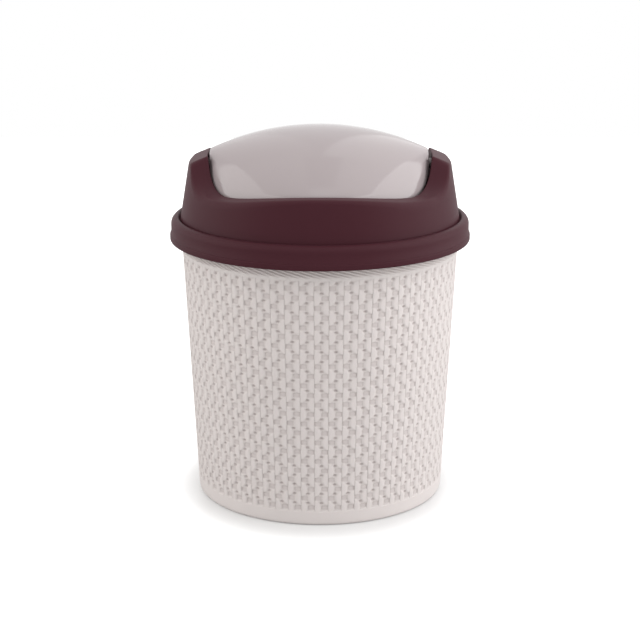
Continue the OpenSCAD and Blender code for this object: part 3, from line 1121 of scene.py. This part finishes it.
    def _crown(self, angles: Array) -> list[ProfilePoint]:
        """Crown's wall, its rounded edge and the deck as far as the opening.

        Args:
            angles: directions, in radians.

        Returns:
            Radii and heights, from the valley up and inwards.
        """
        edge = np.full_like(angles, self.crown_r)
        for _ in range(self.settling):
            edge = self.crown_out_r(self.top_at(edge, angles))
        crest = self.top_at(edge, angles)
        up = np.clip((crest - self.dip_z) / (self.ear_side_z - self.dip_z), 0.0, 1.0)
        ease = self.ear_round + (self.deck_round - self.ear_round) * (1.0 - up) ** self.round_fade
        wall_end, deck_start = crest - ease, edge - ease
        wall_end_r, deck_start_z = self.crown_out_r(wall_end), self.top_at(deck_start, angles)
        deck_end = self.opening(angles) + self.edge_soft
        path: list[ProfilePoint] = []
        for share in np.linspace(0.02, 1.0, self.wall_steps):
            height = self.valley_z + (wall_end - self.valley_z) * share
            path.append((self.crown_out_r(height), height))
        for share in np.linspace(0.1, 1.0, self.edge_steps):
            radius = rounded(wall_end_r, edge, deck_start, share)
            path.append((radius, rounded(wall_end, crest, deck_start_z, share)))
        for share in np.linspace(0.06, 1.0, self.deck_steps):
            radius = deck_start + (deck_end - deck_start) * share
            path.append((radius, self.top_at(radius, angles)))
        return path

    def _throat(self, angles: Array) -> list[ProfilePoint]:
        """Rounded lip of the opening and its throat, down and round to the back.

        Args:
            angles: directions, in radians.

        Returns:
            Radii and heights, from the deck down.
        """
        opening = self.opening(angles)
        back = opening + self.lid_wall
        deck_end = opening + self.edge_soft
        deck_end_z = self.top_at(deck_end, angles)
        lip = self.top_at(opening, angles)
        soft = self.rim_soft
        path: list[ProfilePoint] = []
        for share in (0.3, 0.6, 0.85):
            turn = share * math.pi / 2
            radius = deck_end - self.edge_soft * math.sin(turn)
            path.append((radius, deck_end_z - self.edge_soft * (1 - math.cos(turn))))
        fall = self.throat_bottom + soft - lip + self.edge_soft
        for share in np.linspace(0.0, 1.0, self.throat_steps):
            path.append((opening, lip - self.edge_soft + fall * share))
        path.append((opening + soft, self.throat_bottom))
        path.append((back - soft, self.throat_bottom))
        path.append((back, self.throat_bottom + soft))
        return path

    def _inside(self, angles: Array) -> list[ProfilePoint]:
        """Under face of the deck, the crown's inner wall and the seat on the bucket's rim.

        Args:
            angles: directions, in radians.

        Returns:
            Radii and heights, from the throat outwards and down.
        """
        back = self.opening(angles) + self.lid_wall
        under = np.full_like(angles, self.crown_r - self.lid_wall)
        for _ in range(self.settling):
            under = self.crown_out_r(self.under_at(under, angles)) - self.lid_wall
        corner = self.under_at(under, angles)
        foot_r = self.crown_out_r(self.rim_z) - self.lid_wall
        ease_out, ease_up = self.seat_ease
        path: list[ProfilePoint] = []
        for share in np.linspace(0.0, 1.0, self.under_steps):
            radius = back + (under - back) * share
            path.append((radius, self.under_at(radius, angles)))
        for share in np.linspace(0.1, 1.0, self.inner_steps):
            height = corner + (self.rim_z + ease_up - corner) * share
            path.append((self.crown_out_r(height) - self.lid_wall, height))
        path.append((foot_r + ease_out, self.rim_z))
        path.append((self.skirt_in_r - self.seat_soft, self.rim_z))
        path.append((self.skirt_in_r, self.rim_z - self.seat_soft))
        path.append((self.skirt_in_r, (self.rim_z + self.skirt_bottom) / 2))
        return path

    def profiles(self, angles: Array) -> list[tuple[Array, Array]]:
        """The collar's closed profile in every direction, from the skirt's inner edge outwards.

        Args:
            angles: directions, in radians.

        Returns:
            Pairs of radii and heights, one pair for each step along the profile.
        """
        flat = np.zeros_like(angles)
        path = [*self._skirt(), *self._crown(angles), *self._throat(angles), *self._inside(angles)]
        return [(flat + radius, flat + height) for radius, height in path]

    def build(self, pivot_z: float) -> bpy.types.Object:
        """Builds the collar and its two bearing bosses as one piece.

        Args:
            pivot_z: height of the flap's axis.

        Returns:
            The collar.
        """
        angles = TURN * np.arange(self.turns) / self.turns
        path = self.profiles(angles)
        points = [revolved(angles, radii, heights) for radii, heights in path]
        faces = [stacked_quads(len(path), self.turns, closed=True)]
        total = self.turns * len(path)
        for side in Side:
            boss_points, boss_faces = self._boss(side, pivot_z)
            points.append(boss_points)
            faces.append(boss_faces + total)
            total += len(boss_points)
        made = mesh_object("collar", np.concatenate(points), np.concatenate(faces))
        made.data.set_sharp_from_angle(angle=SHARP_ANGLE)
        return made

    def _boss(self, side: Side, pivot_z: float) -> tuple[Array, Array]:
        """A bearing boss that stands behind an ear's inner face, with its bore.

        Args:
            side: which ear carries it.
            pivot_z: height of the flap's axis.

        Returns:
            Points and faces of the closed boss.
        """
        soft = self.boss_soft
        start = self.open_half_w + self.boss_start
        end = self.open_half_w + self.boss_len
        path = [
            (self.bore_r, start),
            (self.boss_r, start),
            (self.boss_r, end - soft),
            (self.boss_r - soft, end),
            (self.bore_r + soft, end),
            (self.bore_r, end - soft),
        ]
        count = self.boss_turns
        turns = TURN * np.arange(count) / count
        rings = [
            np.stack([np.full(count, side.value * x), r * np.cos(turns), pivot_z + r * np.sin(turns)], 1)
            for r, x in path
        ]
        faces = stacked_quads(len(path), count, closed=True)
        return np.concatenate(rings), faces if side is Side.RIGHT else faces[:, ::-1]


# The flap


@dataclass
class Flap:
    """The domed flap with its rounded rim, end cheeks and hanger ribs."""

    collar: Collar
    flap_gap: float = 1.0
    side_gap: float = 1.3
    side_shift: float = 0.5
    dome_rise: float = 26.8
    ridge_r: float = 148.0
    edge_lift: float = 12.1
    lift_power: float = 11.0
    side_limit: float = 0.99
    wall: float = 1.6
    rim: float = 3.0
    rim_soft: float = 1.3
    toe: float = 0.4
    pivot_depth: float = 6.4
    cheek_t: float = 2.0
    cheek_r: float = 8.0
    bar_r: float = 3.0
    bar_drop: float = 13.5
    hanger_x: float = 30.0
    hanger_t: float = 2.0
    eye_wall: float = 1.8
    plate_soft: float = 0.35
    plate_reach: float = 0.6
    turns: int = 360
    rings: int = 30
    rim_steps: int = 8
    inner_rings: int = 20
    plate_end_points: int = 25
    plate_top_points: int = 17
    plate_side_points: int = 5

    def __post_init__(self) -> None:
        """Works out the flap's outline, crest and pivot from the collar."""
        self.front_r = self.collar.open_r - self.flap_gap
        self.half_w = self.collar.open_half_w - self.side_gap
        self.dome_z = self.collar.deck_z + self.dome_rise
        self.pivot_z = self.collar.ear_side_z - self.pivot_depth
        self.bar_z = self.pivot_z - self.bar_drop

    def height(self, x: Array, y: Array) -> Array:
        """Height of the outer face.

        Args:
            x: places across.
            y: places along.

        Returns:
            One height for each place.
        """
        ridge = self.dome_z - arc_drop(x, self.ridge_r)
        lift = self.edge_lift * (np.abs(x) / self.half_w) ** self.lift_power
        edge = self.collar.deck_z - arc_drop(x, self.collar.deck_arc_r) + lift
        share = x / (self.half_w + self.collar.side_bow)
        share = np.clip(share, -self.side_limit, self.side_limit)
        half = self.front_r * np.sqrt(1.0 - share**2)
        drop = ridge - edge
        curve = (half**2 + drop**2) / (2 * drop)
        return ridge - arc_drop(y, curve)

    def thickness(self, x: Array, y: Array) -> Array:
        """Upright thickness that gives the wall its true thickness on the slope."""
        return self.wall * slope_factor(self.height, x, y)

    def _ring(self, angles: Array, radius: Array, inside: bool = False) -> Array:
        """Points of one ring of the dome.

        Args:
            angles: directions, in radians.
            radius: one radius for each direction.
            inside: whether the ring lies on the inner face.

        Returns:
            One row for each direction.
        """
        x, y = in_plan(radius, angles)
        drop = self.thickness(x, y) if inside else 0.0
        return np.stack([x, y, self.height(x, y) - drop], 1)

    def _rim(self, angles: Array, full: Array, dome_end: Array) -> list[Array]:
        """Rings of the turned-down rim: its rounding, outer side, foot and inner side.

        Args:
            angles: directions, in radians.
            full: radius of the flap's outline in each direction.
            dome_end: the dome's last ring.

        Returns:
            The rings, in order.
        """
        up = np.array([0.0, 0.0, 1.0])
        edge = self._ring(angles, full)
        low_end = edge - up * self.rim_soft
        shares = np.linspace(1.0 / self.rim_steps, 1.0, self.rim_steps)
        rings = [rounded(dome_end, edge, low_end, share) for share in shares]
        rings.append(edge - up * (self.rim - self.toe))
        foot = edge - up * self.rim
        inward = self._ring(angles, full - self.wall)
        inward[:, 2] = foot[:, 2]
        rings.append(foot + (inward - foot) * (self.toe / self.wall))
        rings.append(inward + (foot - inward) * (self.toe / self.wall))
        rings.append(inward + up * self.toe)
        return rings

    def _shell(self) -> tuple[Array, Faces]:
        """The closed dome with its turned-down rim.

        Returns:
            Its points and faces.
        """
        count = self.turns
        angles = TURN * np.arange(count) / count
        bow = self.collar.side_bow
        full = oval(angles, self.half_w, self.front_r, bow)
        inner = oval(angles, self.half_w - self.wall, self.front_r - self.wall, bow)
        outer_shares = np.sin(np.linspace(0.03, 1.0, self.rings) * math.pi / 2)
        rings = [self._ring(angles, (full - self.rim_soft) * share) for share in outer_shares]
        rings += self._rim(angles, full, rings[-1])
        for share in np.linspace(1.0, 0.04, self.inner_rings):
            rings.append(self._ring(angles, inner * share, inside=True))
        faces: Faces = stacked_quads(len(rings), count)[:, ::-1].tolist()
        zero = np.zeros(1)
        crest = float(self.height(zero, zero)[0])
        under = crest - float(self.thickness(zero, zero)[0])
        top = len(rings) * count
        last = top - count
        for here in range(count):
            after = (here + 1) % count
            faces.append([top, here, after])
            faces.append([top + 1, last + after, last + here])
        return np.concatenate([*rings, [[0, 0, crest], [0, 0, under]]]), faces

    def _plate(
        self, x: float, thick: float, end_r: float, end_z: float, half_len: float
    ) -> tuple[Array, Faces]:
        """A plate across the flap: flared where it meets the dome and round at its lower end.

        Args:
            x: middle of the plate.
            thick: its thickness.
            end_r: radius of the round end.
            end_z: height of the round end's middle.
            half_len: half of its length where it meets the dome.

        Returns:
            Points and faces of the closed plate.
        """
        turn = np.linspace(math.pi, TURN, self.plate_end_points)
        low = np.stack([end_r * np.cos(turn), end_z + end_r * np.sin(turn)], 1)
        y = np.linspace(half_len, -half_len, self.plate_top_points)
        top_z = self.height(np.full_like(y, x), y) - self.wall * self.plate_reach
        flare = np.linspace(0.0, 1.0, self.plate_side_points + 2)[1:-1]
        side_z = end_z + (top_z[0] - end_z) * flare
        side_y = end_r + (half_len - end_r) * flare**3
        right = np.stack([side_y, side_z], 1)
        left = np.stack([-side_y[::-1], side_z[::-1]], 1)
        loop = np.concatenate([low, right, np.stack([y, top_z], 1), left])
        middle = loop.mean(0)
        soft = min(self.plate_soft, thick / 4)
        reach = np.linalg.norm(loop - middle, axis=1, keepdims=True)
        drawn = middle + (loop - middle) * (1 - soft / reach)
        full = 0.5 - soft / thick
        levels = [(-0.5, drawn), (-full, loop), (full, loop), (0.5, drawn)]
        count = len(loop)
        rings = [np.column_stack([np.full(count, x + thick * share), ring]) for share, ring in levels]
        points = np.concatenate(rings)
        faces: Faces = stacked_quads(len(levels), count).tolist()
        faces.append(list(range(count))[::-1])
        faces.append(list(range(len(points) - count, len(points))))
        return points, faces

    def build(self) -> bpy.types.Object:
        """Builds the flap as one piece.

        Returns:
            The flap.
        """
        cheek_x = self.half_w - self.wall / 2 - self.cheek_t / 2
        eye_r = self.bar_r + self.eye_wall
        parts = [self._shell()]
        for side in Side:
            cheek = (self.cheek_t, self.cheek_r, self.pivot_z, self.cheek_r + 2 * self.cheek_t)
            parts.append(self._plate(side.value * cheek_x, *cheek))
            hanger = (self.hanger_t, eye_r, self.bar_z, eye_r + 4 * self.hanger_t)
            parts.append(self._plate(side.value * self.hanger_x, *hanger))
        points: list[Array] = []
        faces: Faces = []
        total = 0
        for part_points, part_faces in parts:
            points.append(part_points - np.array([self.side_shift, 0.0, 0.0]))
            faces.extend([[k + total for k in face] for face in part_faces])
            total += len(part_points)
        made = mesh_object("flap_dome", np.concatenate(points), faces)
        made.data.set_sharp_from_angle(angle=SHARP_ANGLE)
        return made


# The studio


@dataclass
class Softbox:
    """One soft lamp, aimed at the object, or straight down where it is a ceiling panel."""

    name: str
    place: Triple
    width: float
    height: float
    radiance: float
    colour: Colour = WHITE
    aim: Triple | None = (0.0, 0.0, 0.11)
    turn: float = 0.0

    def build(self) -> bpy.types.Object:
        """Adds the lamp.

        Returns:
            The lamp.
        """
        data = bpy.data.lights.new(self.name, "AREA")
        data.shape = "RECTANGLE"
        data.size = self.width
        data.size_y = self.height
        data.energy = self.radiance * math.pi * self.width * self.height
        data.color = self.colour
        made = bpy.data.objects.new(self.name, data)
        made.location = self.place
        if self.aim is None:
            made.rotation_euler = (0.0, 0.0, math.radians(self.turn))
        else:
            away = Vector(self.place) - Vector(self.aim)
            made.rotation_euler = away.to_track_quat("Z", "Y").to_euler()
        bpy.context.scene.collection.objects.link(made)
        return made


@dataclass
class Studio:
    """White sweep, soft lamps and the camera at the photograph's angle."""

    floor_half: float = 1.2
    floor_colour: Colour = (0.62, 0.62, 0.62)
    # Glow level close to the object: a painted shadow.
    floor_painted_shadow: float = 0.20
    floor_bright: float = 1.0
    floor_near: float = 0.074
    floor_far: float = 0.112
    floor_narrow: float = 1.14
    floor_gloss: float = 0.12
    floor_gloss_rough: float = 0.22
    ambient: float = 0.63
    ceiling: float = 1.2
    camera_place: Triple = (0.0, -0.92697, 0.35167)
    camera_tilt: float = 15.44
    camera_lens: float = 96.41
    camera_sensor: float = 36.0

    def camera(self) -> None:
        """Adds the camera and makes it the scene's own."""
        data = bpy.data.cameras.new("camera")
        data.lens = self.camera_lens
        data.sensor_width = self.camera_sensor
        data.clip_start = 0.01
        made = bpy.data.objects.new("camera", data)
        made.location = self.camera_place
        made.rotation_euler = (math.radians(90.0 - self.camera_tilt), 0.0, 0.0)
        bpy.context.scene.collection.objects.link(made)
        bpy.context.scene.camera = made

    def world(self) -> None:
        """Lights softly from all round, and shows white to the camera and in reflections."""
        made = bpy.data.worlds.new("studio")
        bpy.context.scene.world = made
        graph = Graph(made)
        path = graph.tree.nodes.new("ShaderNodeLightPath")
        rays = ("Is Camera Ray", "Is Glossy Ray", "Is Transmission Ray")
        camera, glossy, through = (Value(graph.tree, path.outputs[name]) for name in rays)
        share = (camera + glossy + through).clamped()
        soft = graph.node("ShaderNodeBackground", inputs={"Color": WHITE, "Strength": self.ambient})
        white = graph.node("ShaderNodeBackground", inputs={"Color": WHITE, "Strength": 1.0})
        both = graph.node("ShaderNodeMixShader", inputs={0: share, 1: soft, 2: white})
        graph.node("ShaderNodeOutputWorld", inputs={"Surface": both})

    def floor(self) -> bpy.types.Object:
        """Adds the white floor, which keeps the object's real shadow and a faint reflection, plus a
        painted shadow where its glow to the camera dims close to the object.

        Returns:
            The floor.
        """
        half = self.floor_half / MM
        corners = np.array([[-half, -half, 0], [half, -half, 0], [half, half, 0], [-half, half, 0]])
        made = mesh_object("floor", corners, [[0, 1, 2, 3]])
        material = bpy.data.materials.new("white_sweep")
        graph = Graph(material)
        place = graph.node("ShaderNodeTexCoord", out="Object")
        stretch = (self.floor_narrow, 1.0, 1.0)
        oval_place = graph.node("ShaderNodeMapping", inputs={"Vector": place, "Scale": stretch})
        length = {"operation": "LENGTH"}
        distance = graph.node("ShaderNodeVectorMath", length, {0: oval_place}, out="Value")
        # Painted shadow: the glow that the camera sees falls from white to a dim level in an oval close
        # to the object.
        painted_shadow_glow = graph.node(
            "ShaderNodeMapRange",
            {"interpolation_type": "SMOOTHSTEP"},
            {
                "Value": distance,
                "From Min": self.floor_near,
                "From Max": self.floor_far,
                "To Min": self.floor_painted_shadow,
                "To Max": self.floor_bright,
            },
        )
        path = graph.node("ShaderNodeLightPath", out="Is Camera Ray")
        lit = graph.node("ShaderNodeBsdfDiffuse", inputs={"Color": self.floor_colour})
        dark = graph.node("ShaderNodeEmission", inputs={"Color": BLACK, "Strength": 0.0})
        white = graph.node("ShaderNodeEmission", inputs={"Color": WHITE, "Strength": 1.0})
        shown = graph.node("ShaderNodeMixShader", inputs={0: painted_shadow_glow * path, 1: dark, 2: white})
        matt = graph.node("ShaderNodeAddShader", inputs={0: lit, 1: shown})
        sheen = {"Color": WHITE, "Roughness": self.floor_gloss_rough}
        gloss = graph.node("ShaderNodeBsdfGlossy", inputs=sheen)
        both = graph.node("ShaderNodeMixShader", inputs={0: self.floor_gloss, 1: matt, 2: gloss})
        graph.node("ShaderNodeOutputMaterial", inputs={"Surface": both})
        made.data.materials.append(material)
        return made

    def panel(
        self,
        name: str,
        place: tuple[float, float],
        size: tuple[float, float],
        radiance: float,
        colour: Colour = WHITE,
        turn: float = 0.0,
    ) -> Softbox:
        """A lamp in the ceiling that shines straight down."""
        return Softbox(name, (*place, self.ceiling), *size, radiance, colour, aim=None, turn=turn)

    def lamps(self) -> None:
        """Adds the side lamps and the five ceiling panels, whose gaps the dome reflects."""
        for lamp in (
            Softbox("softbox_right", (1.1, -0.12, 0.58), 1.5, 1.2, 1.75),
            Softbox("softbox_left", (-1.15, -0.10, 0.58), 1.3, 1.2, 1.22, WARM_WHITE),
            self.panel("panel_front_right", (0.60, -0.375), (0.80, 1.65), 0.45),
            self.panel("panel_front_left", (-0.59, -0.375), (0.92, 1.65), 0.25, WARM_WHITE),
            self.panel("panel_front", (0.05, -0.72), (2.4, 1.16), 0.8),
            self.panel("panel_rear_right", (0.872, 2.155), (1.0, 3.62), 0.55, turn=-11.4),
            self.panel("panel_rear_left", (-0.875, 2.240), (1.0, 3.80), 0.15, WARM_WHITE, 11.7),
        ):
            lamp.build()


def main() -> None:
    """Builds the studio and the object, and reports each piece."""
    logging.basicConfig(level=logging.INFO, format="%(name)s: %(message)s")
    for item in list(bpy.data.objects):
        bpy.data.objects.remove(item)
    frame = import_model()
    bpy.context.scene.view_settings.view_transform = "Standard"
    studio = Studio()
    studio.camera()
    studio.world()
    studio.floor()
    studio.lamps()

    bucket = seat(Bucket().build(), Body.BIN, "bin_bucket")
    dress(bucket, WovenPlastic().material())
    collar_sizes = Collar()
    flap_sizes = Flap(collar_sizes)
    collar = seat(collar_sizes.build(flap_sizes.pivot_z), Body.LID, "lid_collar")
    dress(collar, MattPlastic().material())
    flap = seat(flap_sizes.build(), Body.FLAP, "swing_flap")
    dress(flap, PolishedPlastic().material())
    moulded = PLASTIC_AS_MOULDED.material()
    steel = DrawnSteel().material()
    for name, material, slot in (
        ("pivot_pin_left", moulded, Slot.PIN),
        ("pivot_pin_right", moulded, Slot.PIN),
        ("closing_weight", steel, Slot.WEIGHT),
    ):
        dress(frame["nodes"][name], material)
        LOG.info("%s keeps its CAD shape", name)


if __name__ == "__main__":
    main()
